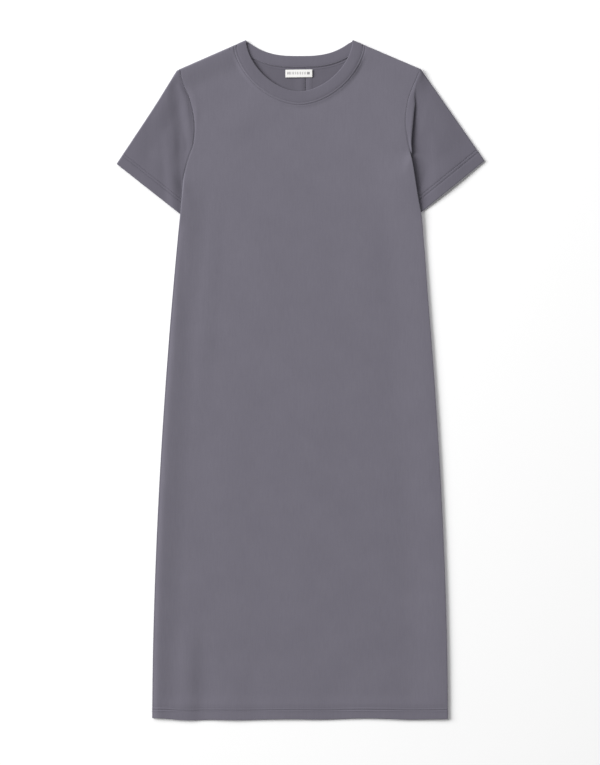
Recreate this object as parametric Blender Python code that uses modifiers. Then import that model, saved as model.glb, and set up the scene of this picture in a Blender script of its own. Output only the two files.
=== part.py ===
"""A midi t-shirt dress in plain jersey, laid out flat and face up, built from the pieces it is sewn from.

X runs across the dress, Y towards its neck and Z up from the surface it lies on. The origin is on
that surface, under the middle of the dress. Left and right are as seen from above.
"""

import math
from collections.abc import Callable
from typing import NamedTuple

import bmesh
import bpy
from mathutils import Vector

MM = 0.001

# Length and neck
LENGTH = 1180 * MM  # highest point of the shoulder to the hem
TOP = LENGTH / 2
HEM = -LENGTH / 2
NECK_CENTRE = -2 * MM
NECK_HALF = 92.2 * MM
NECK_POWER = 1.75  # an ellipse has 2, and less draws the front neckline towards a V
FRONT_DROP = 89 * MM
BACK_DROP = 27.5 * MM
BACK_POWER = 2.9
BAND_WIDTH = 19 * MM

# Shoulder, armhole and side
TIP = 539.5 * MM  # level of the shoulder tip
CHEST = 430 * MM  # the columns of a panel are straight from the neck to this level
UNDERARM = 361.5 * MM
HEM_HALF = 257 * MM
FLARE_POWER = 1.8
CENTRE_SEAM = 7.6 * MM  # the back's centre seam, as it lies

# Sleeve
CUFF_OUTER_X = 319 * MM
CUFF_OUTER_Y = {-1: 376.6 * MM, 1: 380.6 * MM}
CUFF_INNER_Y = 291 * MM

# Cloth
WALL = 1.1 * MM
GAP = 0.3 * MM
TURNED = 20 * MM  # depth of the turned-up hem and cuffs
RISE = 30 * MM  # the run in which the front climbs onto a doubled hem
FOLD = 2.9 * MM  # radius of the soft folds at the shoulders, the sides and the sleeve tops
SEAM = 0.5 * MM  # between front and back where they meet on a fold
NECK_SEAM = 0.8 * MM  # between the band and the body
SETTLE = 42 * MM  # the run in which the front comes down from a fold onto the back
GATHER = 35 * MM  # the run below the underarm in which the side fold takes its shape
TURN_OVER = 30 * MM  # the run in which the band turns to lie along the shoulder
RESTING = 2 * WALL + GAP
RESTING_ON_HEM = 4 * WALL + GAP

# Label: across, down and through, and its place on the back
LABEL_SIZE = (48.5 * MM, 14.7 * MM, 1.0 * MM)
LABEL_AT = (-2.8 * MM, 532.6 * MM)

# Where the grids have their lines: angles round a fold, then distances from an edge and levels
FOLD_ANGLES = (0, 8, 32, 60, 90)
INSIDE_EDGE = (15 * MM, 45 * MM)
BELOW_SHOULDER = (14 * MM, 36 * MM)
BETWEEN = (0.34, 0.67)
NEAR_TIP = (1.5 * MM, 4 * MM, 8 * MM)
LEVELS = [level * MM for level in (430, 405, 380, 361.5, 345, 326, 290, 200, 80, -60, -200, -340, -460, -540)]
LEVELS += [HEM + TURNED + 8 * MM, HEM + TURNED, HEM]
FRONT_TURNS = [k / 10 for k in range(1, 10)]
BACK_SHARES = [k / 5 for k in range(-4, 5)]


class ArmholeRow(NamedTuple):
    drop: float  # below the shoulder tip, in mm
    left: float  # from the centre line to the seam, in mm
    right: float


ARMHOLE = (
    ArmholeRow(0, 209.5, 208.0),
    ArmholeRow(24, 202.0, 194.5),
    ArmholeRow(52, 190.0, 185.0),
    ArmholeRow(90, 184.0, 181.8),
    ArmholeRow(128, 188.0, 186.0),
    ArmholeRow(156, 197.0, 192.5),
    ArmholeRow(184, 203.0, 197.8),
    ArmholeRow(208, 205.8, 201.5),
    ArmholeRow(252, 209.4, 209.4),
)


class FoldRow(NamedTuple):
    out: float  # from the armhole seam, in mm
    roll: float  # height of the left sleeve's soft roll, in mm
    tuck: float  # height of the right sleeve's sharper tuck, in mm


SLEEVE_FOLD = (
    FoldRow(0, 0.0, 0.0),
    FoldRow(4, 1.3, 1.7),
    FoldRow(8, 2.6, 2.8),
    FoldRow(11, 3.0, 3.0),
    FoldRow(13, 2.7, 0.9),
    FoldRow(17, 1.3, 0.0),
    FoldRow(24, 0.3, 0.0),
    FoldRow(32, 0.0, 0.0),
)


class BandRow(NamedTuple):
    out: float  # from the band's free edge towards its seam, in mm
    up: float  # from the middle of its thickness, in mm


BAND_SECTION = (
    BandRow(0, 0),
    BandRow(0.35, 0.75),
    BandRow(1.1, 1.1),
    BandRow(19, 1.1),
    BandRow(19, -1.1),
    BandRow(1.1, -1.1),
    BandRow(0.35, -0.75),
)


def ease(share):
    share = min(1, max(0, share))
    return share * share * (3 - 2 * share)


def curve(points, place):
    """The smooth curve through (place, value) points."""
    last = len(points) - 1
    after = min(last, max(1, sum(p[0] <= place for p in points)))

    def slope(k):
        low, high = points[max(0, k - 1)], points[min(last, k + 1)]
        return (high[1] - low[1]) / (high[0] - low[0])

    (start, low), (end, high) = points[after - 1], points[after]
    run = end - start
    t = (place - start) / run
    return (
        low * (1 + 2 * t) * (1 - t) ** 2
        + high * t * t * (3 - 2 * t)
        + slope(after - 1) * run * t * (1 - t) ** 2
        + slope(after) * run * t * t * (t - 1)
    )


# The outline. A side is -1 for left and 1 for right.


def armhole(side):
    return [(row.drop * MM, (row.left if side < 0 else row.right) * MM) for row in ARMHOLE]


def half_width(y, side):
    """From the centre line to the armhole seam or, lower down, to the side fold."""
    points = armhole(side)
    end, chest = points[-1]
    drop = max(0, TIP - y)
    if drop <= end:
        return curve(points, drop)
    flare = (drop - end) / (TIP - HEM - end)
    return chest + (HEM_HALF - chest) * (1 - (1 - flare) ** FLARE_POWER)


def shoulder_tip(side):
    return Vector((side * half_width(TIP, side), TIP))


def neck_point(side):
    """The highest point of the shoulder, where the band folds over."""
    return Vector((NECK_CENTRE + side * NECK_HALF, TOP))


def along_shoulder(side):
    return (shoulder_tip(side) - neck_point(side)).normalized()


def off_shoulder(side):
    """Away from the dress, square to the shoulder fold."""
    along = along_shoulder(side)
    return Vector((-side * along.y, side * along.x))


def on_shoulder(x, side):
    """The point of the shoulder fold at this x."""
    along = along_shoulder(side)
    return Vector((x, TOP + (x - neck_point(side).x) * along.y / along.x))


def from_shoulder(x, y):
    """How far a point lies inside the nearer shoulder fold."""
    return min((neck_point(side) - Vector((x, y))).dot(off_shoulder(side)) for side in (-1, 1))


def seam_way(point, square):
    """From the neckline to its seam: square to the edge, but along the shoulder where the band folds over."""
    side = -1 if point.x < NECK_CENTRE else 1
    turned = ease((point - neck_point(side)).length / TURN_OVER)
    return (along_shoulder(side) * (1 - turned) + square * turned).normalized()


def front_neck(turn):
    """A point of the front neckline and the way to its seam; turn goes from 0 at the left to 1."""
    angle = math.pi * turn
    across = -math.copysign(abs(math.cos(angle)) ** (2 / NECK_POWER), math.cos(angle))
    down = math.sin(angle) ** (2 / NECK_POWER)
    point = Vector((NECK_CENTRE + NECK_HALF * across, TOP - FRONT_DROP * down))
    square = Vector(
        (
            math.copysign(abs(across) ** (NECK_POWER - 1), across) / NECK_HALF,
            -(down ** (NECK_POWER - 1)) / FRONT_DROP,
        )
    )
    return point, seam_way(point, square.normalized())


def back_neck(share):
    """The same for the back neckline; share goes from -1 at the left to 1."""
    point = Vector((NECK_CENTRE + NECK_HALF * share, TOP - BACK_DROP * (1 - abs(share) ** BACK_POWER)))
    slope = BACK_DROP * BACK_POWER * abs(share) ** (BACK_POWER - 1) / NECK_HALF
    return point, seam_way(point, Vector((math.copysign(slope, share), -1)).normalized())


# Heights. The back lies on the surface, the front lies on the back, and both turn up or down to meet
# halfway up a round fold at the shoulders and sides.


def fold_insets():
    return [FOLD * (1 - math.cos(math.radians(angle))) for angle in FOLD_ANGLES]


def round_edge(inset, radius):
    """Height of a quarter circle above its start, as a share of its radius."""
    return math.sqrt(max(0, 1 - (1 - min(inset, radius) / radius) ** 2))


def over_fold(inset, resting):
    if inset < FOLD:
        return FOLD + SEAM / 2 + (FOLD - SEAM / 2) * round_edge(inset, FOLD)
    return resting + (2 * FOLD - resting) * (1 - ease((inset - FOLD) / SETTLE))


def under_fold(inset):
    return (FOLD - SEAM / 2) * (1 - round_edge(inset, FOLD))


def resting_height(from_hem):
    return RESTING + (RESTING_ON_HEM - RESTING) * (1 - ease((from_hem - TURNED) / RISE))


def front_height(x, y):
    """Height of the front's upper side."""
    side = -1 if x < 0 else 1
    resting = resting_height(y - HEM)
    flat = over_fold(from_shoulder(x, y), resting)
    gathered = ease((UNDERARM - y) / GATHER)
    return flat + (over_fold(half_width(y, side) - abs(x), resting) - flat) * gathered


def back_height(x, y):
    """Height of the back's underside."""
    side = -1 if x < 0 else 1
    gathered = ease((UNDERARM - y) / GATHER)
    return under_fold(from_shoulder(x, y)) + under_fold(half_width(y, side) - abs(x)) * gathered


# Grids of cloth


def material(name, colour, roughness):
    made = bpy.data.materials.new(name)
    made.use_nodes = True
    shader = made.node_tree.nodes["Principled BSDF"]
    shader.inputs["Base Color"].default_value = colour
    shader.inputs["Roughness"].default_value = roughness
    return made


def add_piece(name, finish, shape):
    mesh = bpy.data.meshes.new(name)
    shape.to_mesh(mesh)
    shape.free()
    mesh.materials.append(finish)
    piece = bpy.data.objects.new(name, mesh)
    dress.objects.link(piece)
    return piece


def cloth_grid(name, finish, points, doubled=None, inside_out=False):
    """A surface through points[i][j], welded where it meets itself; doubled(i, j) marks turned-up cloth."""
    across, along = len(points) - 1, len(points[0]) - 1
    shape = bmesh.new()
    bmesh.ops.create_grid(shape, x_segments=across, y_segments=along, size=0.5)
    weights = shape.verts.layers.deform.verify()
    for vert in shape.verts:
        i, j = round((vert.co.x + 0.5) * across), round((vert.co.y + 0.5) * along)
        vert.co = points[i][j]
        if doubled and doubled(i, j):
            vert[weights][0] = 1.0
    bmesh.ops.remove_doubles(shape, verts=shape.verts, dist=1e-4 * MM)
    if inside_out:
        bmesh.ops.reverse_faces(shape, faces=shape.faces)
    piece = add_piece(name, finish, shape)
    piece.data.shade_smooth()
    return piece


def give_wall(piece):
    """The cloth's thickness, inwards from its outer side, and twice that where it is turned up."""
    piece.vertex_groups.new(name="doubled")
    wall = piece.modifiers.new("wall", "SOLIDIFY")
    wall.thickness = 2 * WALL
    wall.vertex_group = "doubled"
    wall.thickness_vertex_group = 0.5


# Body panels. A column of the grid runs from the shoulder or the neck seam down to the hem.


class Column(NamedTuple):
    top: Vector
    x_at: Callable  # x for a level, y
    keeps_to_edge: bool  # it follows the armhole above the chest, where other columns are straight


def edge_columns(side):
    """Columns along a panel's outer edge, from the outside in."""

    def column(inset):
        top = on_shoulder(shoulder_tip(side).x - side * inset, side)
        return Column(top, lambda y: side * (half_width(y, side) - inset), True)

    return [column(inset) for inset in [*fold_insets(), *INSIDE_EDGE]]


def seam_points(edges):
    return [point + way * (BAND_WIDTH + NECK_SEAM) for point, way in edges]


def beside_band(side):
    """Tops of the columns where the neck seam comes over the shoulder fold, from the outside in."""
    corner = neck_point(side) + along_shoulder(side) * (BAND_WIDTH + NECK_SEAM)
    middle = (corner.x + shoulder_tip(side).x - side * INSIDE_EDGE[-1]) / 2
    return [on_shoulder(middle, side), corner, corner - off_shoulder(side) * FOLD]


def spread(tops, start_at, end_at, steps):
    """Columns that are spread evenly between two limits from the chest down."""

    def column(top, share):
        return Column(top, lambda y: start_at(y) + (end_at(y) - start_at(y)) * share, False)

    return [column(top, (k + 1) / steps) for k, top in enumerate(tops)]


def innermost(side):
    return lambda y: side * (half_width(y, side) - INSIDE_EDGE[-1])


def down(column):
    """Plan points down a column."""
    top, whole = column.top, column.top.y - CHEST
    drops = fold_insets() + list(BELOW_SHOULDER)
    drops += [drops[-1] + (whole - drops[-1]) * share for share in BETWEEN]
    points = []
    for drop in drops:
        straight = top.x + (column.x_at(CHEST) - top.x) * drop / whole
        y = top.y - drop
        points.append(Vector((column.x_at(y) if column.keeps_to_edge else straight, y)))
    return points + [Vector((column.x_at(level), level)) for level in LEVELS]


def body_panel(name, columns, height, inside_out):
    plan = [down(column)[::-1] for column in columns]
    points = [[Vector((x, y, height(x, y))) for x, y in column] for column in plan]
    hem_rows = sum(level <= HEM + TURNED for level in LEVELS)
    give_wall(cloth_grid(name, jersey, points, lambda i, j: j < hem_rows, inside_out))


def front():
    neck = seam_points(front_neck(turn) for turn in FRONT_TURNS)
    tops = beside_band(-1) + neck + beside_band(1)[::-1]
    inner = spread(tops, innermost(-1), innermost(1), len(tops) + 1)
    body_panel("front", edge_columns(-1) + inner + edge_columns(1)[::-1], front_height, False)


def back_half(side):
    seam_x = CENTRE_SEAM + side * GAP / 2
    neck = seam_points(back_neck(share * -side) for share in BACK_SHARES)
    neck = [point for point in neck if side * (point.x - seam_x) > BAND_WIDTH / 4]
    level = seam_points([back_neck((seam_x - NECK_CENTRE) / NECK_HALF)])[0].y
    tops = beside_band(side) + neck + [Vector((seam_x, level))]
    columns = edge_columns(side) + spread(tops, innermost(side), lambda y: seam_x, len(tops))
    name = "back_left" if side < 0 else "back_right"
    body_panel(name, columns, back_height, side < 0)


# Sleeves. Each is one piece of cloth folded along its top, and its rows lie in line with the cuff. A row
# runs from the armhole or the underarm seam over the top fold and back below, to the same place.


def sleeve(side):
    def beside_body(y):
        return Vector((side * (half_width(y, side) + GAP), y))

    tip = beside_body(TIP)
    cuff_outer = Vector((side * CUFF_OUTER_X, CUFF_OUTER_Y[side]))
    along_row = (cuff_outer - beside_body(CUFF_INNER_Y)).normalized()
    top_way = (cuff_outer - tip).normalized()
    square = Vector((top_way.y, -top_way.x))
    folds = [(row.out * MM, (row.roll if side < 0 else row.tuck) * MM) for row in SLEEVE_FOLD]

    levels = [TIP - drop for drop in NEAR_TIP]
    levels += [point.y for point in down(edge_columns(side)[0]) if levels[-1] > point.y > UNDERARM - GATHER]
    levels += [CUFF_INNER_Y + distance / along_row.x * side for distance in (TURNED + 8 * MM, TURNED, 0)]

    def row(level):
        inner = beside_body(level)
        width = (tip - inner).dot(square) / along_row.dot(square)
        resting = resting_height((level - CUFF_INNER_Y) * along_row.x * side)
        fit = min(1, width / (90 * MM))
        lifted = ease((TIP - level) / (60 * MM)) * (1 - 0.5 * ease((UNDERARM - level) / (60 * MM)))
        near_top = [inset * min(1, width / (8 * MM)) for inset in fold_insets()]
        near_top += [inset * fit for inset in BELOW_SHOULDER]
        outs = [out * fit for out, lift in folds]
        upper = outs + [width - inset for inset in near_top[::-1]]
        lower = [width - inset for inset in near_top] + [outs[-1], outs[0]]
        points = []
        for out in upper:
            z = over_fold(width - out, resting) + curve(folds, min(out, folds[-1][0])) * lifted
            points.append(Vector((*(inner + along_row * out), z)))
        return points + [Vector((*(inner + along_row * out), under_fold(width - out))) for out in lower]

    rows = [row(level) for level in levels]
    points = [list(line) for line in zip(*rows)]
    name = "sleeve_left" if side < 0 else "sleeve_right"
    give_wall(cloth_grid(name, jersey, points, lambda i, j: j >= len(rows) - 2, side > 0))


def neckband():
    """A doubled ring of cloth, whose front half lies over its back half and folds into it at each shoulder."""

    def ring(edge, way, out):
        return [edge + way * row.out * MM + out * row.up * MM for row in (*BAND_SECTION, BAND_SECTION[0])]

    def flat(point, way, z, up):
        return ring(Vector((*point, z)), Vector((*way, 0)), Vector((0, 0, up)))

    def fold(side, angles):
        axis = Vector((*(neck_point(side) - off_shoulder(side) * FOLD), FOLD))
        way = Vector((*along_shoulder(side), 0))
        made = []
        for angle in angles:
            turn = math.radians(angle)
            out = Vector((*(off_shoulder(side) * math.cos(turn)), math.sin(turn)))
            made.append(ring(axis + out * (FOLD - WALL), way, out))
        return made

    angles = list(range(-90, 91, 30))
    highest = 2 * FOLD - WALL
    rings = fold(-1, angles)
    for point, way in map(front_neck, FRONT_TURNS):
        z = highest + (RESTING - highest) * ease((TOP - point.y) / FRONT_DROP)
        rings.append(flat(point, way, z, 1))
    rings += fold(1, angles[::-1])
    rings += [flat(point, way, WALL, -1) for point, way in map(back_neck, BACK_SHARES[::-1])]
    cloth_grid("neckband", band_jersey, [*rings, rings[0]], inside_out=True)


def label():
    """A small woven label, flat on the inside of the back just under the band."""
    shape = bmesh.new()
    bmesh.ops.create_cube(shape, size=1)
    bmesh.ops.scale(shape, vec=LABEL_SIZE, verts=shape.verts)
    piece = add_piece("label", woven, shape)
    piece.location = (*LABEL_AT, WALL + GAP + LABEL_SIZE[2] / 2)


for old in list(bpy.data.objects):
    bpy.data.objects.remove(old)

dress = bpy.data.collections.new("t-shirt dress")
bpy.context.scene.collection.children.link(dress)
jersey = material("slate jersey", (0.174, 0.164, 0.200, 1), 0.85)
band_jersey = material("slate neckband jersey", (0.170, 0.160, 0.195, 1), 0.85)
woven = material("white woven label", (0.86, 0.86, 0.86, 1), 0.6)

front()
for each_side in (-1, 1):
    back_half(each_side)
    sleeve(each_side)
neckband()
label()
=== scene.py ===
# A midi t-shirt dress in plain slate jersey, laid out flat and face up on a white table.
# X runs across the dress, Y towards its neck and Z up. Sizes are in millimetres, and become metres
# where a mesh is made. Left and right are as seen from above.

import math

import bpy
import numpy as np
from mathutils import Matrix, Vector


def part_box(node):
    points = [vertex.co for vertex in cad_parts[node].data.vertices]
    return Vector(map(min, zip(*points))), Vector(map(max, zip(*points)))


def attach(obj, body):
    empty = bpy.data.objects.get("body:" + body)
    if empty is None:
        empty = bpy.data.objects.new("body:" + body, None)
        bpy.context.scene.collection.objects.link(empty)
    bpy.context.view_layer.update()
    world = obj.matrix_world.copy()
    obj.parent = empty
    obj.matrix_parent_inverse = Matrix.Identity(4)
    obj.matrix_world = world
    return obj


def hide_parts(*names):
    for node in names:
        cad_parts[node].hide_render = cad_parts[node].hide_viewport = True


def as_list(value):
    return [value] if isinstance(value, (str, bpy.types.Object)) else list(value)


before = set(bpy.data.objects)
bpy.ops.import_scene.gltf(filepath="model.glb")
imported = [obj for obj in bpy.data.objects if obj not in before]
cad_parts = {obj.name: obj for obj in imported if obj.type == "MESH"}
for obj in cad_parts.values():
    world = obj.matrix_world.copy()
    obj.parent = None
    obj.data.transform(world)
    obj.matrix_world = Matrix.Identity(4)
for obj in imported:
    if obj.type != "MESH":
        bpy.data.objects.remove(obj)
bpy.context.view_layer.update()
mm = 0.001


def cadBox(node):
    low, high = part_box(node)
    return np.array(low) / mm, np.array(high) / mm


# Shared curves.


def eased(share):
    share = np.clip(share, 0, 1)
    return share * share * (3 - 2 * share)


def ramp(value, start, run):  # softly from 0 where it starts to 1 a run further on
    return eased((value - start) / run)


def hump(share):  # 1 in the middle, and softly down to 0 at -1 and 1
    return np.maximum(0, 1 - np.square(share)) ** 2


def unit(vectors):
    return vectors / np.maximum(np.linalg.norm(vectors, axis=-1, keepdims=True), 1e-9)


def bySide(x, values):  # the left's value where x is negative, and the right's elsewhere
    return np.where(x < 0, values[-1], values[1])


def through(places, values, at):  # the smooth curve through the points
    places, values = np.array(places, float), np.array(values, float)
    before = np.maximum(np.arange(len(places)) - 1, 0)
    after = np.minimum(np.arange(len(places)) + 1, len(places) - 1)
    slopes = (values[after] - values[before]) / (places[after] - places[before])
    at = np.clip(at, places[0], places[-1])
    k = np.clip(np.searchsorted(places, at, side="right") - 1, 0, len(places) - 2)
    run = places[k + 1] - places[k]
    t = (at - places[k]) / run
    ends = values[k] * (1 + 2 * t) * (1 - t) ** 2 + values[k + 1] * t * t * (3 - 2 * t)
    return ends + slopes[k] * run * t * (1 - t) ** 2 + slopes[k + 1] * run * t * t * (t - 1)


def spaced(start, end, step):  # evenly from start to end, about a step apart
    return list(np.linspace(start, end, max(2, round(abs(end - start) / step) + 1)))


# The outline that every piece is cut to.

hemY = cadBox("front")[0][1]
hemHalf = cadBox("front")[1][0]
bothSides = (-1, 1)  # left and right

outline = {
    "top": -hemY,  # highest point of the shoulder
    "neckCentre": -2,
    "neckHalf": 92.2,
    "frontDrop": 89,
    "frontPower": 1.75,  # 2 would be an ellipse, and less draws the neckline towards a V
    "backDrop": 27.5,
    "backPower": 2.9,
    "band": 19,
    "bandTurn": 30,  # the run in which the band turns to lie along the shoulder
    "tip": 539.5,  # level of the shoulder tip
    "chest": 430,
    "underarm": 361.5,
    "gather": 35,  # the run below the underarm in which the side fold takes its shape
    "flarePower": 1.8,
    "centreSeam": 7.6,
    "cuffOuterY": {-1: 375.2, 1: 380.6},
    "cuffLower": {-1: 2.8, 1: 0},  # how much lower its inner corner lies than the frame's
    "drawnIn": {-1: 0, 1: 1.9},  # how far the side is drawn in below the sleeve
    "drawnInRun": 0.2,  # the share of the way to the hem in which that comes
}
armhole = {  # from the centre line to the seam, at drops below the shoulder tip
    "drop": (0, 24, 52, 90, 128, 156, 184, 208, 252),
    -1: (209.5, 203.6, 192, 184, 185.4, 194.8, 201.8, 204.6, 208.8),
    1: (208, 197.5, 187, 181.8, 186.3, 193.2, 198, 201.7, 209.4),
}
cuffX = {-1: -cadBox("sleeve_left")[0][0], 1: cadBox("sleeve_right")[1][0]}
cuffInnerY = {
    -1: cadBox("sleeve_left")[0][1] - outline["cuffLower"][-1],
    1: cadBox("sleeve_right")[0][1] - outline["cuffLower"][1],
}
cloth = {
    "wall": 0.7,
    "fold": 2.9,  # radius of the soft fold at the shoulders
    "sideFold": {-1: 1.7, 1: 1.0},  # and of those at the sides
    "roll": 0.8,  # radius of the turned edge of a hem
    "turned": 20,  # how far hem and cuffs are turned up
    "resting": 2.2,  # height of the front's face where it lies on the back
    "restingOnHem": 3.5,
    "rise": 30,  # the run in which it comes down off the doubled hem
}


def halfWidth(y, side):
    drop = np.maximum(0, outline["tip"] - np.asarray(y, float))
    end, chest = armhole["drop"][-1], armhole[side][-1]
    above = through(armhole["drop"], armhole[side], np.minimum(drop, end))
    flare = np.clip((drop - end) / (outline["tip"] - hemY - end), 0, 1)
    below = chest + (hemHalf - chest) * (1 - (1 - flare) ** outline["flarePower"])
    below = below - outline["drawnIn"][side] * eased(flare / outline["drawnInRun"])
    return np.where(drop <= end, above, below)


def fromSide(x, y):  # how far a point lies inside the armhole seam or the side fold
    return np.where(x < 0, halfWidth(y, -1) + x, halfWidth(y, 1) - x)


tipHalf = {s: float(halfWidth(outline["tip"], s)) for s in bothSides}
neckX = {s: outline["neckCentre"] + s * outline["neckHalf"] for s in bothSides}
neckPoint = {s: np.array((neckX[s], outline["top"])) for s in bothSides}
shoulderTip = {s: np.array((s * tipHalf[s], outline["tip"])) for s in bothSides}
alongShoulder = {s: unit(shoulderTip[s] - neckPoint[s]) for s in bothSides}
offShoulder = {s: np.array((-s * alongShoulder[s][1], s * alongShoulder[s][0])) for s in bothSides}


def fromShoulder(x, y):
    points = np.stack(np.broadcast_arrays(x, y), axis=-1)
    return np.minimum(*[(neckPoint[s] - points) @ offShoulder[s] for s in bothSides])


def onShoulder(x, side):
    slope = alongShoulder[side][1] / alongShoulder[side][0]
    return np.array((x, outline["top"] + (x - neckPoint[side][0]) * slope))


def seamWay(points, square):  # from the neck edge to its seam
    left = (points[:, 0] < outline["neckCentre"])[:, None]
    near = np.where(left, neckPoint[-1], neckPoint[1])
    along = np.where(left, alongShoulder[-1], alongShoulder[1])
    turned = eased(np.linalg.norm(points - near, axis=1) / outline["bandTurn"])[:, None]
    return unit(along * (1 - turned) + square * turned)


def frontNeck(turns):  # points of the front neckline and the ways to its seam, from 0 at the left to 1
    angle = math.pi * np.asarray(turns, float)
    power = outline["frontPower"]
    across = -np.sign(np.cos(angle)) * np.abs(np.cos(angle)) ** (2 / power)
    down = np.sin(angle) ** (2 / power)
    x = outline["neckCentre"] + outline["neckHalf"] * across
    points = np.stack((x, outline["top"] - outline["frontDrop"] * down), axis=1)
    squareX = np.sign(across) * np.abs(across) ** (power - 1) / outline["neckHalf"]
    squareY = -(down ** (power - 1)) / outline["frontDrop"]
    return points, seamWay(points, unit(np.stack((squareX, squareY), axis=1)))


def backNeck(shares):  # the same for the back, from -1 at the left to 1
    shares = np.asarray(shares, float)
    power = outline["backPower"]
    drop = outline["backDrop"] * (1 - np.abs(shares) ** power)
    x = outline["neckCentre"] + outline["neckHalf"] * shares
    points = np.stack((x, outline["top"] - drop), axis=1)
    slope = outline["backDrop"] * power * np.abs(shares) ** (power - 1) / outline["neckHalf"]
    square = unit(np.stack((np.sign(shares) * slope, -np.ones_like(shares)), axis=1))
    return points, seamWay(points, square)


# How the cloth lies.


def roundEdge(inset, radius):
    return np.sqrt(np.maximum(0, 1 - (1 - np.minimum(inset, radius) / radius) ** 2))


def overFold(inset, resting, settle, height=None, radius=None):
    radius = cloth["fold"] if radius is None else radius
    height = 2 * radius if height is None else height
    around = radius + (height - radius) * roundEdge(inset, radius)
    inside = resting + (height - resting) * (1 - eased((inset - radius) / settle))
    return np.where(inset < radius, around, inside)


def sideRadius(x):
    return bySide(x, cloth["sideFold"])


def underFold(inset, radius=None):
    radius = cloth["fold"] if radius is None else radius
    return radius * (1 - roundEdge(inset, radius))


def restingHeight(fromEdge):
    climb = 1 - eased((fromEdge - cloth["turned"]) / cloth["rise"])
    return cloth["resting"] + (cloth["restingOnHem"] - cloth["resting"]) * climb


def creased(x, y, creases):  # the height that a table of soft ridges and troughs adds
    added = np.zeros(np.broadcast(x, y).shape)
    for x0, y0, x1, y1, width, height in creases:
        runX, runY = x1 - x0, y1 - y0
        length = math.hypot(runX, runY)
        along = ((x - x0) * runX + (y - y0) * runY) / length**2
        across = ((x - x0) * runY - (y - y0) * runX) / length
        added = added + height * hump(across / width) * hump(2 * np.clip(along, 0, 1) - 1) ** 0.5
    return added


def sunk(distance, depth, width):  # cloth rolling down into a seam or under a row of stitches
    return -depth * hump(distance / width)


# Making meshes.


def linear(hexColour):
    parts = [int(hexColour[k : k + 2], 16) / 255 for k in (1, 3, 5)]
    return [p / 12.92 if p <= 0.04045 else ((p + 0.055) / 1.055) ** 2.4 for p in parts] + [1]


def finished(piece, sharpFrom=50):  # modifiers applied, smooth but for its true edges
    graph = bpy.context.evaluated_depsgraph_get()
    mesh = bpy.data.meshes.new_from_object(piece.evaluated_get(graph))
    piece.modifiers.clear()
    piece.data = mesh
    mesh.shade_smooth()
    mesh.set_sharp_from_angle(angle=math.radians(sharpFrom))
    return piece


def addObject(name, data):
    added = bpy.data.objects.new(name, data)
    bpy.context.scene.collection.objects.link(added)
    return added


def addPiece(name, points, faces, material):
    mesh = bpy.data.meshes.new(name)
    mesh.from_pydata((np.asarray(points, float) * mm).tolist(), [], faces)
    mesh.materials.append(material)
    return addObject(name, mesh)


def weld(grids):  # one list of points and faces from grids that share their borders
    offset, points, quads = 0, [], []
    for grid in grids:
        rows, columns = grid.shape[:2]
        ids = offset + np.arange(rows * columns).reshape(rows, columns)
        quads.append(np.stack((ids[:-1, :-1], ids[1:, :-1], ids[1:, 1:], ids[:-1, 1:]), -1).reshape(-1, 4))
        points.append(grid.reshape(-1, 3))
        offset += rows * columns
    points = np.concatenate(points)
    _, first, same = np.unique(np.round(points, 3), axis=0, return_index=True, return_inverse=True)
    faces = []
    for quad in same.reshape(-1)[np.concatenate(quads)].tolist():
        corners = [c for k, c in enumerate(quad) if c != quad[k - 1]]
        if len(set(corners)) > 2:
            faces.append(corners)
    return points[first], faces


def makeCloth(name, grids, material, flip=False, wall=None, inside=None):
    points, faces = weld(grids)
    if flip:
        faces = [face[::-1] for face in faces]
    piece = addPiece(name, points, faces, material)
    thickness = piece.modifiers.new("wall", "SOLIDIFY")
    thickness.thickness = (wall or cloth["wall"]) * mm
    thickness.offset = -1
    if inside:
        piece.data.materials.append(inside)
        thickness.material_offset = 1
    return finished(piece)


def gridNormals(grid):
    across, along = np.gradient(grid, axis=0), np.gradient(grid, axis=1)
    return unit(np.cross(across, along))


def turnedUp(grid, facing):  # adds the rolled edge and the turned-up cloth past the grid's last row
    normals = gridNormals(grid) * facing
    radius = cloth["roll"]
    edge, normal = grid[:, -1], normals[:, -1]
    outwards = unit(grid[:, -1] - grid[:, -2])
    rows = []
    for angle in np.radians((30, 60, 90, 120, 150, 180)):
        rows.append(edge + outwards * radius * math.sin(angle) - normal * radius * (1 - math.cos(angle)))
    middle = grid.shape[0] // 2
    depth = np.linalg.norm(np.diff(grid[middle, ::-1], axis=0), axis=1).cumsum()
    for k, run in enumerate(depth):
        if run > cloth["turned"]:
            break
        rows.append(grid[:, -2 - k] - normals[:, -2 - k] * 2 * radius)
    return np.concatenate((grid, np.stack(rows, axis=1)), axis=1)


# Materials.


def setInputs(node, inputs):  # to values, or to what is linked in, where a node means its first output
    for key, value in inputs.items():
        if isinstance(value, bpy.types.Node):
            value = value.outputs[0]
        if isinstance(value, bpy.types.NodeSocket):
            node.id_data.links.new(value, node.inputs[key])
        else:
            node.inputs[key].default_value = value


def addNode(tree, kind, settings=None, inputs=None):
    node = tree.nodes.new("ShaderNode" + kind)
    for key, value in (settings or {}).items():
        setattr(node, key, value)
    setInputs(node, inputs or {})
    return node


def newMaterial(name):
    material = bpy.data.materials.new(name)
    material.use_nodes = True
    tree = material.node_tree
    place = addNode(tree, "TexCoord").outputs["Object"]
    return material, tree, tree.nodes["Principled BSDF"], place


def cellsOf(place, across, along, up):  # inputs that make a texture's cells this many millimetres
    scale = tuple(1 / (size * mm) for size in (across, along, up))
    mapping = addNode(place.node.id_data, "Mapping", inputs={"Vector": place, "Scale": scale})
    return {"Vector": mapping, "Scale": 1.0}


waveSpan = 3.18  # a wave texture at scale 1 repeats every 1 / 3.18 of a unit

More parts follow.
